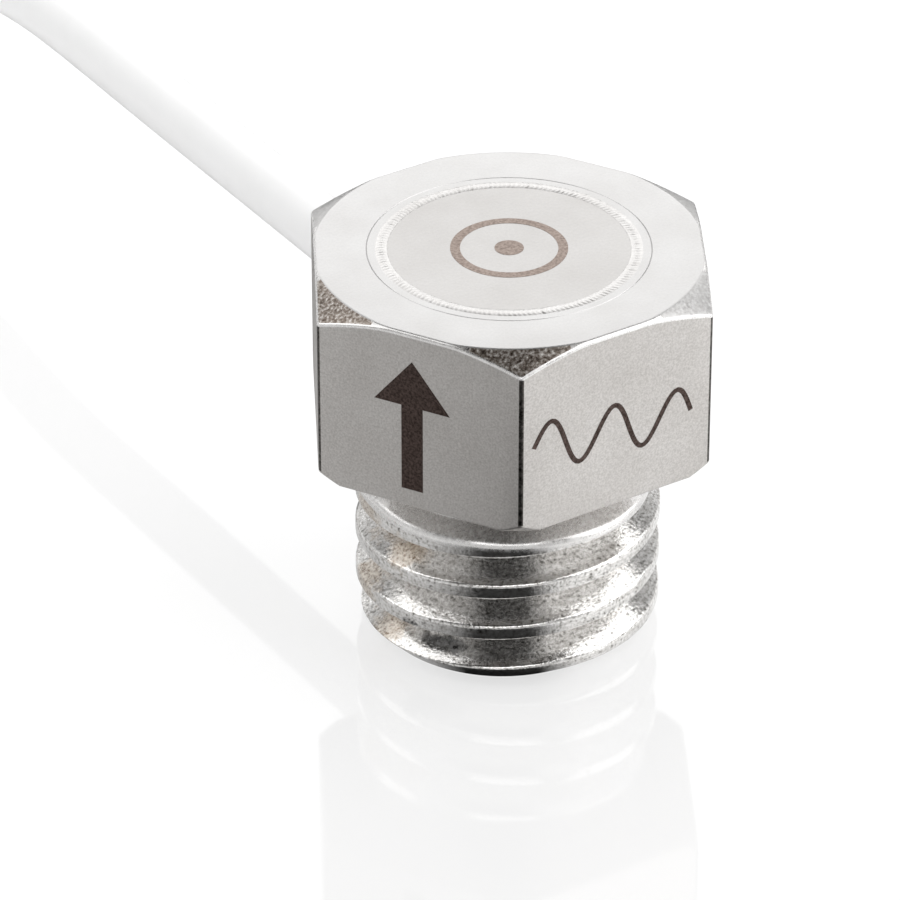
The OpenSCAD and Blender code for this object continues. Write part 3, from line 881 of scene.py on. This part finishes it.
# Painted dark reflection: a near-black copy of the steel for the rounded vertical corners, standing
# in for dark surroundings mirrored there.
corner_dark_reflection_steel = grained_steel("corner_dark_reflection_steel", (0.02, 0.018, 0.016), (0.16, 0.15, 0.14), 12,
                             (0.3, 0.45), ROUGH_RELIEF)
inside_steel = grained_steel("inside_steel", (0.34, 0.33, 0.32), (0.46, 0.45, 0.44), 9,
                             (0.3, 0.45), ROUGH_RELIEF)
cover_steel = grained_steel("cover_steel", (0.46, 0.45, 0.44), (0.54, 0.53, 0.52), 14,
                            (0.32, 0.42), FINE_RELIEF)
weld_steel = grained_steel("weld_steel", (0.5, 0.49, 0.48), (0.66, 0.65, 0.64), 10,
                           (0.26, 0.38), FINE_RELIEF)
weld.data.materials.append(weld_steel)
print("finish on the weld:", weld_steel.name)

# %% [markdown]
# The chamfer kept the torn surface of the turning tool. Its colour is darker and browner on the
# corners that face the left and front of the view, and lighter on the others, so a slow change of
# tone across the head mixes the two.

# %% Chamfer finish
# The chamfer turns darker and browner towards this side, in front of the camera and to its left.
BROWNER_SIDE = direction(CAMERA_TURN - math.radians(30), 0)
BROWNER_FROM = 1.2
BROWNER_TO = 2.4
chamfer_steel, tree, shader, vector = start_finish("chamfer_steel")
pits = add_noise(tree, vector, 15, 3, 0.65)
along = add_measure(tree, "DOT_PRODUCT", vector, BROWNER_SIDE)
browner = add_range(tree, along, 0, 1, BROWNER_FROM, BROWNER_TO)
brown = add_ramp(tree, pits, [(0.3, (0.09, 0.065, 0.05)), (0.5, (0.36, 0.31, 0.27)),
                              (0.7, (0.86, 0.83, 0.8))])
lighter_tone = add_ramp(tree, pits, [(0.3, (0.5, 0.49, 0.48)), (0.7, (0.72, 0.715, 0.71))])
tree.links.new(add_mix(tree, browner, lighter_tone, brown), shader.inputs["Base Color"])
shader.inputs["Metallic"].default_value = 1
tree.links.new(add_range(tree, pits, 0.28, 0.46), shader.inputs["Roughness"])
add_bump(tree, shader, pits, 0.007, 0.5)
print("pitted side:", [round(x, 2) for x in BROWNER_SIDE])

# %% [markdown]
# The thread is brighter than the head, because the die pressed its flanks smooth, with fine
# streaks along the groove. Handling left brown stains on its left side and a black smear of
# grease low down, left of the middle. Each is made of round patches about points on the stud,
# broken up by a noise.

# %% Stains and grease
STAINS = [((-3.0, 0.5, 3.0), 1.0), ((-2.9, 0.7, 1.1), 1.0), ((-3.0, 0, 0.5), 0.8),
          ((-2.9, -0.5, 2.7), 0.8)]
GREASE = [((-2.85, -0.9, 0.97), 0.5), ((-2.72, -1.15, 0.95), 0.52), ((-2.55, -1.42, 0.9), 0.5),
          ((-2.4, -1.68, 0.8), 0.42)]
PATCH_FROM = 0.8
PATCH_TO = 1.1


def add_patches(tree, vector, patches, breaks):
    """Share from 0 to 1 of round patches (place, reach in millimetres), broken up by a noise."""
    total = None
    for place, reach in patches:
        patch = add_range(tree, add_measure(tree, "DISTANCE", vector, place), 1, 0, 0, reach)
        total = patch if total is None else add_math(tree, "MAXIMUM", total, patch)
    return add_range(tree, add_math(tree, "ADD", total, breaks), 0, 1, PATCH_FROM, PATCH_TO)


print("patches of stain:", len(STAINS), "and of grease:", len(GREASE))

# %% Thread finish
STREAK_LENGTH = 12
STREAK_RELIEF = 0.5
STAIN_SHARE = 0.5
STAIN_ROUGH = 0.15
GREASE_BLACK = (0.012, 0.011, 0.01)
thread_steel, tree, shader, vector = start_finish("thread_steel")
grain = add_noise(tree, vector, 14, 3, 0.6)
stretch = tree.nodes.new("ShaderNodeMapping")
stretch.inputs["Scale"].default_value = (1, 1, STREAK_LENGTH)
tree.links.new(vector, stretch.inputs["Vector"])
streaks = add_noise(tree, stretch.outputs["Vector"], 2.5, 3, 0.6)
tone = add_ramp(tree, grain, [(0.28, (0.1, 0.09, 0.08)), (0.42, (0.66, 0.65, 0.63)),
                              (0.6, (0.88, 0.87, 0.86))])
shade = add_ramp(tree, streaks, [(0.35, (0.8, 0.79, 0.78)), (0.6, (1, 1, 1))])
tone = add_mix(tree, 1.0, tone, shade, "MULTIPLY")
patchy = add_noise(tree, vector, 5, 5, 0.7)
stained = add_patches(tree, vector, STAINS, patchy)
greasy = add_patches(tree, vector, GREASE, add_noise(tree, vector, 9, 4, 0.7))
rust = add_ramp(tree, grain, [(0.35, (0.3, 0.2, 0.12)), (0.65, (0.7, 0.6, 0.47))])
tone = add_mix(tree, add_math(tree, "MULTIPLY", stained, STAIN_SHARE), tone, rust)
tree.links.new(add_mix(tree, greasy, tone, GREASE_BLACK), shader.inputs["Base Color"])
tree.links.new(add_math(tree, "SUBTRACT", 1, greasy), shader.inputs["Metallic"])
dull = add_math(tree, "MULTIPLY", stained, STAIN_ROUGH)
rough = add_math(tree, "ADD", add_range(tree, grain, 0.08, 0.2), dull)
tree.links.new(rough, shader.inputs["Roughness"])
lines = add_math(tree, "MULTIPLY", streaks, STREAK_RELIEF)
add_bump(tree, shader, add_math(tree, "ADD", grain, lines), 0.01, 0.5)
for finish in (top_steel, chamfer_steel, edge_highlight_steel, flat_steel, corner_dark_reflection_steel, inside_steel,
               thread_steel):
    body.data.materials.append(finish)
print("finishes on the body:", [m.name for m in body.data.materials])

# %% Marked steel
laser_brown = grained_steel("laser_brown", (0.035, 0.024, 0.02), (0.13, 0.095, 0.085), 20,
                            (0.4, 0.5), FINE_RELIEF)
laser_tan = grained_steel("laser_tan", (0.17, 0.13, 0.11), (0.4, 0.33, 0.29), 16,
                          (0.36, 0.46), FINE_RELIEF)
for mark, finish in ((axis_arrow, laser_brown), (wave_mark, laser_brown), (axis_ring, laser_tan)):
    mark.data.materials.append(finish)
    print(mark.name, "has", finish.name)

# %% Finishes of the other pieces


def plain_finish(name, colour, rough, metal=0.0, per_mm=4, spread=0.12, depth_mm=0.004):
    """Moulded, cured, fired or plated surface with slight unevenness in its colour and relief."""
    finish, tree, shader, vector = start_finish(name)
    grain = add_noise(tree, vector, per_mm, 3)
    low = tuple(c * (1 - spread) for c in colour)
    high = tuple(min(1, c * (1 + spread)) for c in colour)
    tree.links.new(add_ramp(tree, grain, [(0.3, low), (0.7, high)]), shader.inputs["Base Color"])
    tree.links.new(add_range(tree, grain, rough * 0.85, rough * 1.15), shader.inputs["Roughness"])
    shader.inputs["Metallic"].default_value = metal
    add_bump(tree, shader, grain, depth_mm, 0.3)
    return finish


jacket_white = plain_finish("jacket_white", (0.95, 0.95, 0.95), 0.42, per_mm=1.5, spread=0.01,
                            depth_mm=0.002)
finish_of_node = {
    "cover_disc": cover_steel,
    "jacket_end": jacket_white,
    "cable_seal": plain_finish("seal_epoxy", (0.16, 0.15, 0.14), 0.4),
    "header_board": plain_finish("alumina", (0.88, 0.87, 0.82), 0.6),
    "shield_ferrule": plain_finish("ferrule_brass", (0.78, 0.6, 0.3), 0.3, metal=1),
    "coil_tie": plain_finish("tie_nylon", (0.05, 0.05, 0.05), 0.45),
    "end_sleeve": plain_finish("sleeve_black", (0.035, 0.035, 0.035), 0.5),
}
adhesive = plain_finish("cured_adhesive", (0.6, 0.45, 0.18), 0.45)
gold = plain_finish("gold", (0.9, 0.68, 0.28), 0.25, metal=1)
silicon = plain_finish("silicon", (0.3, 0.31, 0.34), 0.15, metal=0.6)
tinned = plain_finish("tinned_copper", (0.72, 0.72, 0.72), 0.3, metal=1, per_mm=8)
for name in ("board_adhesive", "die_adhesive"):
    finish_of_node[name] = adhesive
for name in ("board_tracks", "die_pads", "bond_wires"):
    finish_of_node[name] = gold
for name in ("die_base", "die_core", "die_cap"):
    finish_of_node[name] = silicon
for name in ("solder_joints", "lead_tips", "tail_tips", "shield_braid", "tail_shield"):
    finish_of_node[name] = tinned
lead_colours = {"red": (0.58, 0.04, 0.04), "black": (0.025, 0.025, 0.025),
                "green": (0.04, 0.3, 0.1), "white": (0.84, 0.84, 0.82)}
for colour, tint in lead_colours.items():
    insulation = plain_finish("insulation_" + colour, tint, 0.35)
    finish_of_node["lead_" + colour] = insulation
    finish_of_node["tail_" + colour] = insulation

for name, finish in finish_of_node.items():
    nodes[name].data.materials.clear()
    nodes[name].data.materials.append(finish)
cable.data.materials.append(jacket_white)
print("CAD nodes with a finish:", len(finish_of_node))

# %% [markdown]
# The studio is a polished white light table under soft boxes. The top face mirrors a long box
# behind the sensor, the edges catch a box on each side and one over the camera, and the
# chamfers and the upper flanks of the thread look up into a darker ceiling. A fill box overhead
# lights the white cable and shows in no reflection. Photographers lay a dark card by shiny
# metal to give it a dark core. The card here lies just above the table, only shows in
# reflections and is clear from below, so that the table still mirrors the sensor. It is black
# towards the camera and behind the sensor, grey on the left and clear on the right.

# %% Floor


def stage_object(name, bm):
    """A mesh object of the studio, not of the part."""
    mesh = bpy.data.meshes.new(name)
    bm.to_mesh(mesh)
    bm.free()
    thing = add_object(name, mesh)
    return thing


FLOOR_Z = -0.01 * MM
floor_bm = bmesh.new()
bmesh.ops.create_grid(floor_bm, x_segments=2, y_segments=2, size=1.5)
bmesh.ops.translate(floor_bm, vec=(0, 0, FLOOR_Z), verts=floor_bm.verts)
floor = stage_object("floor", floor_bm)
table_white, _, shader, _ = start_finish("table_white")
shader.inputs["Base Color"].default_value = (0.25, 0.25, 0.25, 1)
shader.inputs["Roughness"].default_value = 0.05
shader.inputs["Emission Color"].default_value = (1, 1, 1, 1)
shader.inputs["Emission Strength"].default_value = 0.66
floor.data.materials.append(table_white)
print("floor at", FLOOR_Z)

# %% Dark card
CARD_START = 2.5 * MM
CARD_END = 150 * MM
CARD_Z = 0.005 * MM
CARD_STEPS = 72
card_bm = bmesh.new()
card_line = [card_bm.verts.new((r, 0, CARD_Z)) for r in (CARD_START, CARD_END)]
card_edge = card_bm.edges.new(card_line)
bmesh.ops.spin(card_bm, geom=card_line + [card_edge], cent=(0, 0, 0), axis=(0, 0, 1),
               angle=2 * math.pi, steps=CARD_STEPS, use_merge=True)
bmesh.ops.recalc_face_normals(card_bm, faces=card_bm.faces)
if card_bm.faces[:][0].normal.z < 0:
    bmesh.ops.reverse_faces(card_bm, faces=card_bm.faces)
card = stage_object("dark_card", card_bm)
card.visible_camera = False
card.visible_diffuse = False
card.visible_shadow = False
print("card faces:", len(card.data.polygons))

# %% Finish of the card
# Each pair is an angle to the right of the camera in degrees and how much of the card shows.
CARD_SHADE = [(-180, 1), (-150, 0.9), (-125, 0.3), (-50, 0.36), (-32, 0.6), (-17, 1), (14, 1),
              (32, 0), (130, 0), (155, 0.7), (180, 1)]
card_black, tree, shader, vector = start_finish("card_black")
shader.inputs["Base Color"].default_value = (0.01, 0.01, 0.01, 1)
shader.inputs["Roughness"].default_value = 0.9
ahead = add_measure(tree, "DOT_PRODUCT", vector, direction(CAMERA_TURN, 0))
aside = add_measure(tree, "DOT_PRODUCT", vector, camera_right)
turned = add_range(tree, add_math(tree, "ARCTAN2", aside, ahead), 0, 1, -math.pi, math.pi)
shade = add_ramp(tree, turned, [(0.5 + turn / 360, (dark, dark, dark)) for turn, dark in CARD_SHADE])
side = tree.nodes.new("ShaderNodeNewGeometry")
shade = add_math(tree, "SUBTRACT", shade, side.outputs["Backfacing"])
clear = tree.nodes.new("ShaderNodeBsdfTransparent")
either = tree.nodes.new("ShaderNodeMixShader")
tree.links.new(shade, either.inputs[0])
tree.links.new(clear.outputs[0], either.inputs[1])
tree.links.new(shader.outputs[0], either.inputs[2])
tree.links.new(either.outputs[0], tree.nodes["Material Output"].inputs["Surface"])
card.data.materials.append(card_black)
print("shades round the card:", len(CARD_SHADE))

# %% Soft boxes
BOX_DISTANCE = 0.4


def soft_box(name, turn, rise, width, height, radiance, mirrored=True):
    """Light at a turn to the right of the camera and a rise in degrees, facing the sensor."""
    data = bpy.data.lights.new(name, "AREA")
    data.shape = "RECTANGLE"
    data.size, data.size_y = width, height
    data.energy = radiance * math.pi * width * height
    light = add_object(name, data)
    outward = direction(CAMERA_TURN + math.radians(turn), math.radians(rise))
    light.location = TOP_CENTRE + outward * BOX_DISTANCE
    light.rotation_euler = (TOP_CENTRE - light.location).to_track_quat("-Z", "Y").to_euler()
    light.visible_camera = False
    light.visible_glossy = mirrored
    print(name, "energy", round(data.energy, 3))


soft_box("back_box", 180, 32, 0.5, 0.25, 1.45)
soft_box("right_box", 85, 38, 0.4, 0.45, 2.0)
soft_box("left_box", -95, 47, 0.25, 0.3, 1.5)
soft_box("front_box", 0, 42, 0.3, 0.12, 2.0)
soft_box("fill_box", 180, 80, 0.5, 0.5, 0.7, mirrored=False)

# %% Ceiling and walls
world = bpy.data.worlds.new("studio")
bpy.context.scene.world = world
world.use_nodes = True
tree = world.node_tree
place = tree.nodes.new("ShaderNodeTexCoord")
split = tree.nodes.new("ShaderNodeSeparateXYZ")
tree.links.new(place.outputs["Generated"], split.inputs[0])
walls = add_ramp(tree, split.outputs["Z"], [(0.0, (0.8, 0.8, 0.8)), (0.4, (0.6, 0.6, 0.6)),
                                            (0.85, (0.04, 0.038, 0.036))])
tree.links.new(walls, tree.nodes["Background"].inputs["Color"])
bpy.context.scene.view_settings.view_transform = "Standard"
print("view transform:", bpy.context.scene.view_settings.view_transform)
